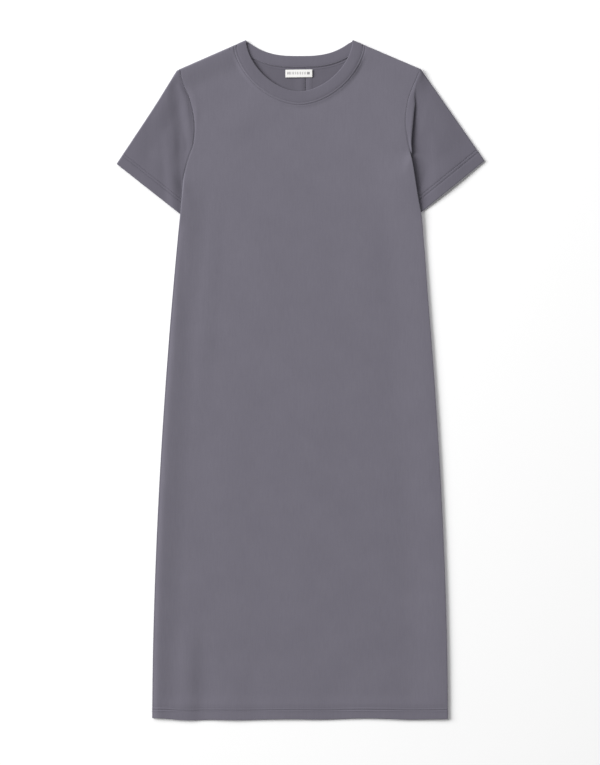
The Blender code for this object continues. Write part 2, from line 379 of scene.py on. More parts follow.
jerseyLook = {
    "colour": "#6d6a75",
    "shade": "#65626d",  # the darker yarn of the heather
    "wale": 1.5,  # width of a column of knit stitches: real ones are 0.8 mm, too fine to show
    "course": 1.1,  # and the height of a row of them
    "cloud": 60,  # size of the broad unevenness of the dye
    "slub": (2.2, 26),  # width and length of the thick places in the yarn
    "fibre": 1.6,
    "relief": 0.12,
    "bump": 0.35,
    "surface": {
        "Roughness": 0.88,
        "Specular IOR Level": 0.25,
        "Sheen Weight": 0.12,
        "Sheen Roughness": 0.6,
    },
}


def jersey(name, look):
    # Combed cotton with elastane, knitted in single jersey: matte, with a faint bloom of loose fibre
    # at grazing angles, fine upright columns of stitches, and yarn a shade uneven along its length.
    material, tree, shader, place = newMaterial(name)
    width, length = look["slub"]
    textures = {}
    for key, kind, cells, settings, inputs in (
        ("cloud", "TexNoise", (look["cloud"],) * 3, {}, {"Detail": 2.0}),
        ("slub", "TexNoise", (width, length, width), {}, {"Detail": 3.0, "Roughness": 0.6}),
        ("fibre", "TexNoise", (look["fibre"],) * 3, {}, {"Detail": 2.0}),
        ("wales", "TexWave", (look["wale"] * waveSpan,) * 3, {"bands_direction": "X"}, {}),
        ("courses", "TexWave", (look["course"] * waveSpan,) * 3, {"bands_direction": "Y"}, {}),
    ):
        node = addNode(tree, kind, settings, {**cellsOf(place, *cells), **inputs})
        textures[key] = node.outputs["Fac"]

    uneven = 0.0
    for key, share in (("slub", 0.4), ("fibre", 0.3), ("cloud", 0.3)):
        inputs = {0: textures[key], 1: share, 2: uneven}
        uneven = addNode(tree, "Math", {"operation": "MULTIPLY_ADD"}, inputs)
    colour = addNode(tree, "ValToRGB", inputs={"Fac": uneven})
    for element, position, key in zip(colour.color_ramp.elements, (0.3, 0.7), ("shade", "colour")):
        element.position = position
        element.color = linear(look[key])

    # rows of stitches show less than columns, and loose fibre stands over both
    inputs = {0: textures["courses"], 1: 0.4, 2: 0.6}
    knit = addNode(tree, "Math", {"operation": "MULTIPLY_ADD"}, inputs)
    knit = addNode(tree, "Math", {"operation": "MULTIPLY"}, {0: textures["wales"], 1: knit})
    inputs = {0: textures["fibre"], 1: 0.8, 2: knit}
    height = addNode(tree, "Math", {"operation": "MULTIPLY_ADD"}, inputs)
    inputs = {"Height": height, "Strength": look["bump"], "Distance": look["relief"] * mm}
    bump = addNode(tree, "Bump", inputs=inputs)
    setInputs(shader, {"Base Color": colour, "Normal": bump, **look["surface"]})
    return material


slateJersey = jersey("slate cotton jersey", jerseyLook)
# The neckband is the same jersey painted a shade darker, as painted shade for the shade it lies in round
# the neck.
bandShadedJersey = jersey("slate doubled jersey, painted shade", {**jerseyLook, "colour": "#67646f", "shade": "#605d68"})
# The sleeves' columns of stitches lean another way. Their jersey is painted a shade darker, as painted
# shade for how that grain reads under the same light.
sleeveShadedJersey = jersey("slate jersey, sleeve grain, painted shade", {**jerseyLook, "colour": "#66636e", "shade": "#5f5c67"})
# The purl side's loops stand up. It is painted a shade darker, as painted shade for those loops shading one
# another and for the shade it lies in inside the neck.
purlShadedJersey = jersey("slate jersey, purl side, painted shade", {**jerseyLook, "colour": "#605d68", "shade": "#5a5761"})


def threadMaterial(name, dark, light):
    # Spun polyester sewing thread dyed to match: smoother than the cloth, and a shade deeper.
    material, tree, shader, place = newMaterial(name)
    twist = addNode(tree, "TexNoise", inputs={"Vector": place, "Scale": 900.0, "Detail": 1.0})
    colour = addNode(tree, "ValToRGB", inputs={"Fac": twist})
    for element, shade in zip(colour.color_ramp.elements, (dark, light)):
        element.color = linear(shade)
    setInputs(shader, {"Base Color": colour, "Roughness": 0.6})
    return material


thread = threadMaterial("slate polyester thread", "#55525d", "#625f6a")
seamShadeThread = threadMaterial("slate seam thread, painted shade", "#2c2a31", "#35323a")  # painted shade: near-black, it stands in for the dark deep in the seam

labelLook = {
    "ground": "#e8e7e5",
    "mark": "#57545a",
    "pick": 0.5,  # height of one woven line
    "relief": 0.05,
    "half": (0.48, 0.46),  # half its width and height, as shares of the frame's label
    "proud": 0.9,  # how far it stands off the cloth
    "thick": 0.4,
    "endDroop": 0.25,
    "rimDroop": 0.45,
    "lower": 0.6,
    "skew": 0.012,
    "dashes": (  # where along the label each stands, and half its length
        *((-19, 1.0), (-15.6, 0.9), (-11.8, 0.5), (-9, 0.6), (-6, 0.5), (-3, 0.7)),
        *((0, 0.5), (3, 0.6), (6, 0.5), (9, 0.5), (11.6, 0.4), (16.4, 2.3)),
    ),
    "dashHalf": 2.1,  # half their height
    "line": 2.0,  # from one of the gaps across them to the next
    "lineFilled": 0.8,
}


def labelMaterial(look, middle):
    # Damask-woven polyester: bright white and a little silky, fine ribs across, with plain grey
    # woven dashes where a size or a care line would stand.
    material, tree, shader, place = newMaterial("white damask label")
    split = addNode(tree, "SeparateXYZ", inputs={"Vector": place})
    across, along = split.outputs["X"], split.outputs["Y"]
    marks = 0.0
    for at, half in look["dashes"]:
        inputs = {0: across, 1: (middle[0] + at) * mm, 2: half * mm}
        dash = addNode(tree, "Math", {"operation": "COMPARE"}, inputs)
        marks = addNode(tree, "Math", {"operation": "MAXIMUM"}, {0: marks, 1: dash})
    inputs = {0: along, 1: middle[1] * mm, 2: look["dashHalf"] * mm}
    line = addNode(tree, "Math", {"operation": "COMPARE"}, inputs)
    woven = addNode(tree, "Math", {"operation": "DIVIDE"}, {0: along, 1: look["line"] * mm})
    woven = addNode(tree, "Math", {"operation": "FRACT"}, {0: woven})
    woven = addNode(tree, "Math", {"operation": "LESS_THAN"}, {0: woven, 1: look["lineFilled"]})
    for part in (line, woven):
        marks = addNode(tree, "Math", {"operation": "MULTIPLY"}, {0: marks, 1: part})
    inputs = {0: marks, 6: linear(look["ground"]), 7: linear(look["mark"])}
    colour = addNode(tree, "Mix", {"data_type": "RGBA"}, inputs).outputs[2]
    cells = cellsOf(place, *(look["pick"] * waveSpan,) * 3)
    ribs = addNode(tree, "TexWave", {"bands_direction": "Y"}, cells).outputs["Fac"]
    inputs = {"Height": ribs, "Strength": 0.3, "Distance": look["relief"] * mm}
    bump = addNode(tree, "Bump", inputs=inputs)
    setInputs(shader, {"Base Color": colour, "Normal": bump, "Roughness": 0.55})
    return material


print("materials made")

# The neckband's lie, which the cloth beside it meets.

bandLook = {
    "thick": 1.1,  # half the doubled cloth
    "crown": 0.2,
    "seamHalf": 0.85,  # half of it at the seam, where it is drawn in
    "lowest": 3.1,  # height of its middle at the front's centre
    "drawnIn": (15.5, 3.5),  # how far from its free edge that starts, and the run of it
    "sinkPower": 2.2,  # how late it sinks to that from its height at the shoulders
}


def bandMiddle(y):
    highest = 2 * cloth["fold"] - bandLook["thick"]
    sink = eased((outline["top"] - y) / outline["frontDrop"]) ** bandLook["sinkPower"]
    return highest + (bandLook["lowest"] - highest) * sink


# Front.

foldInsets = [cloth["fold"] * (1 - math.cos(math.radians(a))) for a in (0, 12, 26, 42, 58, 74, 90)]
ringRows = [0, 0.3, 0.7, 1.2, 1.8, 2.5, 3.2, 3.7, 4.2, 4.7, 5.3, 6.2, 7.5, 9.5, 12]
edgeInsets = foldInsets + [3.6, 4.6, 6, 8, 10.5, 13.5, 17, 21.5, 27, 35, 45]
ringStart = 0.1  # from the band's edge to the cloth that it is sewn to

frontLook = {
    "sideHeight": 5.2,
    "gatherFrom": {-1: 361.5, 1: 399},  # where the side starts to lie over the sleeve, and the run of it
    "gatherRun": {-1: 35, 1: 16},
    "gatherSpread": 36,  # how much longer that run is further in from the side
    "gatherWidth": 25,
    "overhang": (282, 30),  # above here the edge overhangs and is less rounded, and the run of it
    "overhangShare": 0.75,
    "rollOff": 2.3,  # the left side's soft, wide turn down to its fold
    "rollOffWidth": 12,
    "rollOffBelow": (285, -30),
    "settle": {-1: 46, 1: 75},
    "shoulderSettle": 42,
    "sideLift": 4.6,  # how far the right side stands up over the sleeve, at its highest
    "liftAt": 392,
    "liftReach": 165,  # up and down the side
    "liftSettle": 165,  # and in from it
    "neckUnder": 0.15,  # how far the cloth lies below the band's face at their seam
    "neckReach": 11,  # and how far from the seam it is drawn to it
    "neckGroove": {-1: 0.4, 1: 0.2},
    "neckGrooveHalf": 1.9,
    "topstitch": 4.2,  # from the neck seam
    "topstitchSink": (0.5, 1.3),  # depth and half the width
    "stitchSink": (0.5, 1.5),
    "turnSink": (0.35, 3.5),  # where the cloth comes down off the turned-up edge
    "turnSinkUp": 4.5,  # from that edge
    "seamDepth": {-1: 0.38, 1: 0.42},  # the groove along each armhole
    "seamHalf": 2.0,
    "seamFade": 6,  # how far from the shoulder's fold it reaches its depth
    "creaseFade": 12,  # how far from the side the creases reach their height
    "ridge": 0.45,  # a soft ridge along the upper left armhole
    "ridgeIn": (4, 9),  # how far in from the seam, low and high
    "ridgeTurn": (440, 50),  # where it starts to move in, and the run of it
    "ridgeAt": (480, 62),  # its middle, and how far it reaches up and down from there
    "creases": (  # x and y of each end, half the width, height
        (-150, 330, -180, -70, 27, 0.6),
        (-206, 300, -196, -20, 22, -0.4),
        (-214, 330, -205, 120, 16, -0.5),
        (-196, -410, -203, -640, 30, 1.4),
        (-165, -420, -168, -640, 26, -0.8),
        (-120, -470, -110, -640, 40, 0.9),
        (-20, -520, -28, -640, 60, 0.5),
        (60, -500, 62, -640, 44, -0.5),
        (150, -480, 172, -640, 60, 0.5),
        (95, 250, 150, 60, 60, 0.5),
        (-60, 330, -90, 120, 70, 0.5),
        (30, 60, -10, -260, 80, 0.4),
        (-110, 20, -130, -330, 60, 0.4),
        (130, -60, 165, -380, 60, 0.4),
        (-70, 505, -140, 400, 34, 0.5),
        (78, 500, 140, 410, 34, 0.4),
    ),
}
hemWave = {  # how far the hem's edge is drawn up from its lowest line
    "x": (-257, -245, -234, -218, -203, -185, -161, -109, -21, 41, 104, 150, 187, 257),
    "up": (5.6, 5.3, 4.5, 3.0, 2.0, 1.8, 2.6, 2.1, 3.7, 2.9, 5.0, 4.3, 2.8, 4.3),
}
hemStitches = (17.2, 22.0)  # the twin rows, up from the hem's edge


def hemLift(x, y, reach=60):
    lift = through(hemWave["x"], hemWave["up"], x)
    return lift * (1 - eased((y - hemY) / reach)) ** 2


def armholeRelief(x, y, inset):  # the groove along the armhole seams, and the ridge beside the left one
    look = frontLook
    low, high = look["ridgeIn"]
    middle, reach = look["ridgeAt"]
    ridgeIn = low + (high - low) * ramp(y, *look["ridgeTurn"])
    ridge = look["ridge"] * hump(inset / ridgeIn - 1) * hump((y - middle) / reach)
    return sunk(inset, bySide(x, look["seamDepth"]), look["seamHalf"]) + np.where(x < 0, ridge, 0)


def hemRelief(x, y):
    look = frontLook
    up = y - hemY
    rows = sum(sunk(up - row, *look["stitchSink"]) for row in hemStitches)
    return rows + sunk(up - cloth["turned"] - look["turnSinkUp"], *look["turnSink"])


def frontHeight(x, y):
    look = frontLook
    flat = overFold(fromShoulder(x, y), restingHeight(y - hemY), look["shoulderSettle"])
    inset = fromSide(x, y)
    radius = sideRadius(x)
    run = bySide(x, look["gatherRun"]) + look["gatherSpread"] * eased(inset / look["gatherWidth"])
    gathered = ramp(y, bySide(x, look["gatherFrom"]), -run)
    settle = bySide(x, look["settle"])
    folded = overFold(inset, restingHeight(y - hemY), settle, look["sideHeight"], radius)
    z = flat + (folded - flat) * gathered

    rounded = gathered * (1 - look["overhangShare"] * ramp(y, *look["overhang"]))
    lift = np.where(x < 0, 0, look["sideLift"] * hump((y - look["liftAt"]) / look["liftReach"]))
    lifted = roundEdge(inset, radius) * rounded + 1 - rounded
    z = z + lift * lifted * (1 - eased(inset / look["liftSettle"]))

    rolledOff = look["rollOff"] * np.maximum(0, 1 - inset / look["rollOffWidth"]) ** 2
    rolledOff = rolledOff * gathered * ramp(y, *look["rollOffBelow"]) * eased(inset / radius)
    z = z - np.where(x < 0, rolledOff, 0)

    fromFold = eased(fromShoulder(x, y) / look["seamFade"])
    z = z + armholeRelief(x, y, inset) * (1 - gathered) * fromFold
    return z + creased(x, y, look["creases"]) * eased(inset / look["creaseFade"]) + hemRelief(x, y)


dropRows = foldInsets + [4, 5.5, 7.5, 10, 13, 17, 22, 28]
shareRows = list(np.linspace(0, 1, 16)[1:-1])


def columnsDown(tops, xAt, ways, levels):
    # down from each top in short drops, then in shares of the way to the chest, then by levels
    columns = []
    for (topX, topY), at, way in zip(tops, xAt, ways):
        whole = topY - outline["chest"]
        drops = np.array(dropRows + [dropRows[-1] + (whole - dropRows[-1]) * s for s in shareRows])
        y = topY - drops
        x = at(y) if way is None else way(topX, topY, y, drops / whole)
        columns.append(np.stack((np.append(x, at(levels)), np.append(y, levels)), axis=1))
    return np.array(columns)


def keptBetween(startAt, endAt, share):
    # keeps its place between two neighbouring columns, moving evenly to its share of the gap
    def way(topX, topY, y, progress):
        start, end = float(startAt(topY)), float(endAt(topY))
        topShare = (topX - start) / (end - start)
        return startAt(y) + (endAt(y) - startAt(y)) * (topShare + (share - topShare) * progress)

    return way


followWithin = 6  # columns this near the armhole keep to its line
hemRows = [28.5, 26, 25, 24, 23, 22.5, 22, 21.5, 21, 20, 19, 18.2, 17.7, 17.2, 16.7]
hemRows += [16, 14, 11, 8, 5.5, 3.5, 2.2, 1.1]  # up from the hem's edge
levels = np.array(spaced(outline["chest"], hemY + 32, 5) + [hemY + row for row in hemRows])


def columnAt(side, inset):
    # follows the armhole near it, and runs straighter down further in
    tip, chest = outline["tip"], outline["chest"]
    tipX, chestX = tipHalf[side], float(halfWidth(chest, side))
    relaxed = float(ramp(inset, followWithin, edgeInsets[-1] - followWithin))

    def at(y):
        y = np.asarray(y, float)
        share = np.clip((tip - y) / (tip - chest), 0, 1)
        straight = np.where(y > chest, tipX + (chestX - tipX) * share, halfWidth(y, side))
        return side * (halfWidth(y, side) * (1 - relaxed) + straight * relaxed - inset)

    return at


def sideColumns(side, insets):
    tops = [onShoulder(side * (tipHalf[side] - inset), side) for inset in insets]
    return tops, [columnAt(side, inset) for inset in insets]


def spreadColumns(count, startAt, endAt):
    shares = np.arange(1, count + 1) / (count + 1)
    across = [lambda y, share=share: startAt(y) + (endAt(y) - startAt(y)) * share for share in shares]
    return across, [keptBetween(startAt, endAt, share) for share in shares]


def innermost(side):
    return columnAt(side, edgeInsets[-1])


def shoulderRun(corner, side, step=6):
    start = side * (tipHalf[side] - edgeInsets[-1])
    return [onShoulder(x, side) for x in spaced(start, corner[0], step)[1:-1]]


def panelGrid(tops, xAt, ways, height):
    plan = columnsDown(tops, xAt, ways, levels)
    x, y = plan[..., 0], plan[..., 1]
    z = height(x, y)
    y = y + hemLift(x, y)
    return np.stack((x, y, z), axis=-1)


def ringPlan(edge, way):  # the plan of the cloth along the neck seam, and how far each point is from it
    offsets = outline["band"] + ringStart + np.array(ringRows)
    plan = edge[:, None] + way[:, None] * offsets[:, None]
    return plan, np.broadcast_to(np.array(ringRows), plan.shape[:2])


def makePanel(name, ring, start, tops, xAt, ways, height, side):
    main = panelGrid(tops, xAt, ways, height)
    main[start:][: len(ring), 0] = ring[:, -1]  # the two grids share the ring's last row
    main = turnedUp(main, side)
    return makeCloth(name, [ring, main], slateJersey, flip=side < 0, inside=purlShadedJersey), main


def makeFront():
    look, power = frontLook, outline["frontPower"]
    ends = [math.asin((inset / outline["frontDrop"]) ** (power / 2)) / math.pi for inset in foldInsets]
    inner = list(np.linspace(ends[-1], 1 - ends[-1], 60)[1:-1])
    edge, way = frontNeck(np.array(ends + inner + [1 - end for end in ends[::-1]]))
    plan, distance = ringPlan(edge, way)
    x, y = plan[..., 0], plan[..., 1]
    z = frontHeight(x, y)
    level = bandMiddle(edge[:, 1])[:, None] + bandLook["seamHalf"] - look["neckUnder"]
    drawn = (1 - eased(distance / look["neckReach"])) * eased(fromShoulder(x, y) / 8)
    z = z + (level - z) * drawn + sunk(distance, bySide(x, look["neckGroove"]), look["neckGrooveHalf"])
    z = z + sunk(distance - look["topstitch"], *look["topstitchSink"])
    ring = np.stack((x, y, z), axis=-1)
    outer = plan[:, -1]

    leftTops, leftAt = sideColumns(-1, edgeInsets)
    rightTops, rightAt = sideColumns(1, edgeInsets[::-1])
    leftRun, rightRun = shoulderRun(outer[0], -1), shoulderRun(outer[-1], 1)[::-1]
    middle = leftRun + list(outer) + rightRun
    middleAt, middleWays = spreadColumns(len(middle), innermost(-1), innermost(1))
    ways = [None] * len(leftTops) + middleWays + [None] * len(rightTops)
    tops, xAt = leftTops + middle + rightTops, leftAt + middleAt + rightAt
    start = len(leftTops) + len(leftRun)
    return *makePanel("frontPanel", ring, start, tops, xAt, ways, frontHeight, -1), ring


frontPanel, frontGrid, frontRing = makeFront()
print("front made", len(frontPanel.data.polygons))

# Back, in two halves.

backLook = {
    "creases": (  # the underside lies on the table, so these only lift off it
        (-150, 300, -176, -60, 30, 0.5),
        (140, 240, 168, -120, 34, 0.5),
        (-190, -420, -200, -640, 30, 1.0),
        (120, -440, 128, -640, 40, 0.8),
        (60, 330, 90, 80, 50, 0.4),
    ),
    "creaseFade": 20,
    "rise": 0.95,  # how far the cloth stands up beside the centre seam, inside the neck
    "riseWidth": {-1: 18, 1: 60},  # how far that reaches from the seam
    "riseStart": {-1: 1.3, 1: 9},  # and how near to the seam it comes down again
    "riseFrom": (490, 14),  # where it begins on the way up, and the run of that
    "riseTo": (520, 8),
    "seamGap": 0.05,  # half of it, between the two halves
    "armholeLift": (0.8, 2.6),  # height and half the width of the cloth's lift beside each seam
    "neckLift": (0.8, 2.0),
    "topstitchLift": (0.35, 1.1),
    "stitchLift": (0.4, 1.5),
}


def backHeight(x, y):
    look = backLook
    gathered = ramp(y, outline["underarm"], -outline["gather"])
    inset = fromSide(x, y)
    z = underFold(fromShoulder(x, y)) + underFold(inset, sideRadius(x)) * gathered
    z = z + creased(x, y, look["creases"]) * eased(inset / look["creaseFade"])

    fromSeam = x - outline["centreSeam"]
    besideSeam = hump(fromSeam / bySide(fromSeam, look["riseWidth"]))
    besideSeam = besideSeam - hump(fromSeam / bySide(fromSeam, look["riseStart"]))
    inNeck = ramp(y, *look["riseFrom"]) * (1 - ramp(y, *look["riseTo"]))
    z = z + look["rise"] * besideSeam * inNeck

    fromFold = eased(fromShoulder(x, y) / frontLook["seamFade"])
    z = z - sunk(inset, *look["armholeLift"]) * (1 - gathered) * fromFold
    return z - sum(sunk(y - hemY - row, *look["stitchLift"]) for row in hemStitches)


def makeBack(side):
    look, power = backLook, outline["backPower"]
    seamX = outline["centreSeam"] + side * look["seamGap"]
    ends = [side * (1 - inset / outline["backDrop"]) ** (1 / power) for inset in foldInsets]
    seamShare = (seamX - outline["neckCentre"]) / outline["neckHalf"]
    edge, way = backNeck(np.array(ends + list(np.linspace(ends[-1], seamShare, 26)[1:])))
    way[-1] = (0, -1)
    plan, distance = ringPlan(edge, way)
    x, y = plan[..., 0], plan[..., 1]
    z = backHeight(x, y) - sunk(distance, *look["neckLift"])
    z = z - sunk(distance - frontLook["topstitch"], *look["topstitchLift"])
    ring = np.stack((x, y, z), axis=-1)
    outer = plan[:, -1]

    def seamAt(y):
        return seamX + 0 * y

    sideTops, sideAt = sideColumns(side, edgeInsets)
    run = shoulderRun(outer[0], side)
    middle = run + list(outer)
    middleAt, middleWays = spreadColumns(len(middle) - 1, innermost(side), seamAt)
    ways = [None] * len(sideTops) + middleWays + [None]
    name = "backPanelLeft" if side < 0 else "backPanelRight"
    tops, xAt = sideTops + middle, sideAt + middleAt + [seamAt]
    return makePanel(name, ring, len(sideTops) + len(run), tops, xAt, ways, backHeight, -side)


backLeft, backLeftGrid = makeBack(-1)
backRight, backRightGrid = makeBack(1)
print("backs made", len(backLeft.data.polygons), len(backRight.data.polygons))

# Sleeves.

sleeveLook = {
    "air": 1.3,  # how far the upper layer stands off the lower in the middle
    "settle": 40,
    "tipRun": 64,  # in which its fold changes from the shoulder's to its own
    "creases": {
        -1: (
            (-231.8, 640, -190, 300, 17, -1.7),
            (-213, 600, -186, 370, 13, 0.9),
            (-240, 560, -246, 330, 22, 0.7),
            (-228, 440, -214, 220, 16, 2.0),
            (-262, 430, -292, 350, 26, 0.5),
        ),
        1: (
            (236, 520, 262, 330, 34, 0.8),
            (212, 440, 216, 280, 22, -1.2),
        ),
    },
    "creaseFade": 14,
    "stitches": (16.5, 20.8),
    "stitchSink": (0.45, 1.4),
    "topHeight": {-1: 4.8, 1: 3.3},
    "fold": {-1: 2.1, 1: 1.5},
    "seamGap": 0.15,
    "seamDepth": {-1: 0.5, 1: 0.4},
    "seamHalf": 2.2,
    "seamReach": 25,  # how far from the seam its height comes from the body's
    "trough": {-1: 1.6, 1: 2.0},  # beside the body's edge, where that lies over the sleeve
    "troughWidth": 24,
    "capSwell": {-1: 2.4, 1: 0},  # how far the top of the sleeve swells out past the shoulder
    "capSwellRun": (9, 150),
    "apart": 1.6,  # the least that the upper layer's face stands above the lower's
}
sleeveRows = {  # where its rows and its points lie: near the tip, the cuff, the armhole and the top
    "fromTip": (0.3, 0.8, 1.6, 2.8, 4.4, 6, 8, 10, 12, 14),
    "fromCuff": (1.1, 2.5, 4.5, 7, 10, 13, *np.arange(15, 23, 0.6), 25, 28, 32, 37),
    "fromSeam": (
        *(0, 0.4, 0.9, 1.5, 2.2, 3, 3.6, 4.4, 5.2, 6, 6.8, 7.6, 8.6, 9.6),
        *(10.8, 12, 13.4, 15, 17, 19, 21.5, 24),
    ),
    "fromTop": (*foldInsets, 4, 6, 9, 13, 18, 24, 31),
    "step": 2.6,
    "fullWidth": 90,  # where a row is narrower, its points near the seam draw together
    "fullTop": 42,  # and those near the top
    "fullCreases": 40,
}
pleat = {
    # how far from the seam the right sleeve's tuck reaches, row by row up the armhole
    "level": (366, 386, 396, 407, 418, 438, 455, 471, 490, 510, 526, 537),
    "out": (0, 2.2, 4.2, 6.6, 10.5, 17, 19.5, 19.2, 17, 12.6, 6.5, 1.3),
    "folded": (1, 1, 1, 1, 1, 0.98, 0.66, 0.4, 0.22, 0.11, 0.03, 0),  # 0 is a soft slope, 1 a tuck
    # its section, along the cloth from the seam: out, and how much of the seam's height is left
    "share": (0, 0.16, 0.3, 0.38, 0.45, 0.5, 0.55, 0.6, 0.66, 0.74, 0.82, 0.9, 1.0, 1.2, 1.5),
    "across": (0, 0.3, 0.58, 0.74, 0.87, 0.95, 1.0, 1.0, 0.94, 0.78, 0.74, 0.84, 0.98, 1.22, 1.5),
    "height": (1, 1, 0.98, 0.93, 0.84, 0.72, 0.52, 0.3, 0.12, -0.06, -0.26, -0.36, -0.32, -0.16, -0.1),
    "edgeShare": 0.55,  # the share where its edge is
    "widest": 0.42,  # the most it may take of the sleeve's width
    "deepFrom": 4,  # a tuck that reaches less far than this is shallower
    "stand": 1.6,  # how far its edge stands above the cloth beside it
    "fade": 24,  # the run past it in which the cloth is level again
}
pleatShares = (  # where the points across it lie
    *(0, 0.08, 0.16, 0.23, 0.3, 0.34, 0.38, 0.42, 0.45, 0.48, 0.5, 0.52, 0.55),
    *(0.58, 0.6, 0.63, 0.66, 0.7, 0.74, 0.82, 1.0, 1.5),
)


def tuckAt(level, side, width):  # how far the tuck reaches, how deep it is and how much of it is folded
    if side < 0:
        return 0.0, 0.0, 0.0
    reach = float(through(pleat["level"], pleat["out"], level))
    folded = float(through(pleat["level"], pleat["folded"], level))
    toEdge = pleat["edgeShare"] + (1 - pleat["edgeShare"]) * folded
    deep = float(eased(reach / pleat["deepFrom"]))
    return max(reach, min(reach / toEdge, width * pleat["widest"])), deep, folded


def tucked(outs, joined, reach, amount):
    # where a row's points go in the tuck, and how much higher they lie
    share = outs / reach
    inPleat = share < pleat["share"][-1]
    across = np.where(inPleat, through(pleat["share"], pleat["across"], share) * reach, outs)
    past = pleat["height"][-1] * (1 - ramp(outs, pleat["share"][-1] * reach, pleat["fade"]))
    left = np.where(inPleat, through(pleat["share"], pleat["height"], share), past)
    stand = joined * left + pleat["stand"] * left * eased(share / 0.5)
    smooth = joined * (1 - eased(outs / sleeveLook["seamReach"]))
    return outs + (across - outs) * amount, stand * amount + smooth * (1 - amount)


def upperOuts(width, reach, deep):  # how far out from the seam each point of an upper row lies
    rows = sleeveRows
    near = np.array(rows["fromSeam"]) * min(1.0, width / rows["fullWidth"])
    near = near + (reach * np.array(pleatShares) - near) * deep
    nearTop = np.array(rows["fromTop"]) * min(1.0, (width - near[-1]) / rows["fullTop"])
    middle = np.linspace(near[-1], width - nearTop[-1], 16)[1:-1]
    return np.concatenate((near, middle, width - nearTop[::-1]))


def sleeveRow(side, level, inner, alongRow, width, fromCuff):
    # one row of the sleeve: out from the armhole over its top, and back below
    look = sleeveLook
    drop = outline["tip"] - level
    down = float(eased(drop / look["tipRun"]))
    radius = cloth["fold"] + (look["fold"][side] - cloth["fold"]) * down
    height = 2 * cloth["fold"] + (look["topHeight"][side] - 2 * cloth["fold"]) * down
    reach, deep, folded = tuckAt(level, side, width)
    outs = upperOuts(width, reach, deep)
    plan = inner + alongRow * outs[:, None]
    x, y = plan[:, 0], plan[:, 1]
    inset = width - outs
    full = min(1.0, width / sleeveRows["fullCreases"])
    z = overFold(inset, restingHeight(fromCuff), look["settle"], height, radius)
    z = z + look["air"] * hump(2 * outs / width - 1) * full
    belowTip = ramp(y, outline["tip"] + 6, -24)
    z = z + creased(x, y, look["creases"][side]) * eased(inset / look["creaseFade"]) * belowTip * full
    z = z + sum(sunk(fromCuff - row, *look["stitchSink"]) for row in look["stitches"])

    gathered = float(ramp(level, frontLook["gatherFrom"][side], -frontLook["gatherRun"][side]))
    besideSeam = frontHeight(np.array([inner[0] - side * 0.2]), np.array([level]))
    joined = (float(besideSeam[0]) + cloth["wall"] * (1 - gathered) - z[0]) * (1 - gathered)
    if deep > 0:
        moved, raised = tucked(outs, joined, reach, deep * folded)
        z = z + raised
        plan = inner + alongRow * moved[:, None]
    else:
        z = z + joined * (1 - eased(outs / look["seamReach"]))
    seamHalf = look["seamHalf"] * min(1.0, width / sleeveRows["fullWidth"]) + 0.01
    z = z + sunk(outs, look["seamDepth"][side], seamHalf) * (1 - gathered)
    shallow = 0.1 + 0.9 * float(ramp(fromCuff, cloth["turned"], 22))
    trough = look["trough"][side] * np.maximum(0, 1 - outs / look["troughWidth"]) ** 2
    lowest = underFold(inset, radius) + look["apart"] * eased(inset / 4)
    z = np.maximum(z - trough * gathered * shallow, lowest)

    lowerOuts = width - np.array(foldInsets[1:]) * min(1.0, width / 8)
    lowerOuts = np.concatenate((lowerOuts, lowerOuts[-1] * (1 - np.linspace(0, 1, 22)[1:])))
    lift = sunk(lowerOuts, *backLook["armholeLift"]) * (1 - gathered) * eased(width / 12)
    lowerZ = underFold(width - lowerOuts, radius) - lift
    plan = np.concatenate((plan, inner + alongRow * lowerOuts[:, None]))
    return np.column_stack((plan, np.concatenate((z, lowerZ))))


def makeSleeve(side):
    look, rows = sleeveLook, sleeveRows

    def besideBody(y):
        return np.array((side * (float(halfWidth(y, side)) + look["seamGap"]), y))

    tip = besideBody(outline["tip"])
    cuffOuter = np.array((side * cuffX[side], outline["cuffOuterY"][side]))
    alongRow = unit(cuffOuter - besideBody(cuffInnerY[side]))
    topWay = unit(cuffOuter - tip)
    square = np.array((topWay[1], -topWay[0]))
    slope = alongRow[0] * side
    cuffLevels = [cuffInnerY[side] + distance / slope for distance in reversed(rows["fromCuff"])]
    rowLevels = [outline["tip"] - drop for drop in rows["fromTip"]]
    rowLevels += spaced(outline["tip"] - 16, cuffLevels[0] + 3, rows["step"]) + cuffLevels
    fromCuff = (np.array(rowLevels) - cuffInnerY[side]) * slope
    swellFrom, swellTo = look["capSwellRun"]
    grid = []
    for level, distance in zip(rowLevels, fromCuff):
        inner = besideBody(level)
        drop = outline["tip"] - level
        swell = look["capSwell"][side] * float(eased(drop / swellFrom) * (1 - eased(drop / swellTo)))
        width = float((tip - inner) @ square / (alongRow @ square)) + swell
        grid.append(sleeveRow(side, level, inner, alongRow, width, distance))
    grid = turnedUp(np.array(grid).transpose(1, 0, 2), -side)
    name = "sleeveLeft" if side < 0 else "sleeveRight"
    return makeCloth(name, [grid], sleeveShadedJersey, flip=side > 0, inside=purlShadedJersey), grid, fromCuff


sleeveLeft, sleeveLeftGrid, leftFromCuff = makeSleeve(-1)
sleeveRight, sleeveRightGrid, rightFromCuff = makeSleeve(1)
print("sleeves made", len(sleeveLeft.data.polygons))

# Neckband.


def bandSection():
    # out from the free edge, and up or down from the middle, round from the free edge and back to it
    look, width = bandLook, outline["band"]
    half = look["thick"]
    across = [0.12, 0.45, 0.8, 1.4, 2.5, 5, 8, 11, 14, 16, 17.4, 18.3, 18.8, width]
    up = []
    for out in across:
        around = half * math.sqrt(max(0, 1 - (1 - min(out, half) / half) ** 2))
        crown = look["crown"] * math.sin(math.pi * out / width)
        drawnIn = float(ramp(out, *look["drawnIn"]))
        up.append(around + crown - (half - look["seamHalf"]) * drawnIn)
    return [(0, 0), *zip(across, up), *((out, -rise) for out, rise in zip(across[::-1], up[::-1]))]


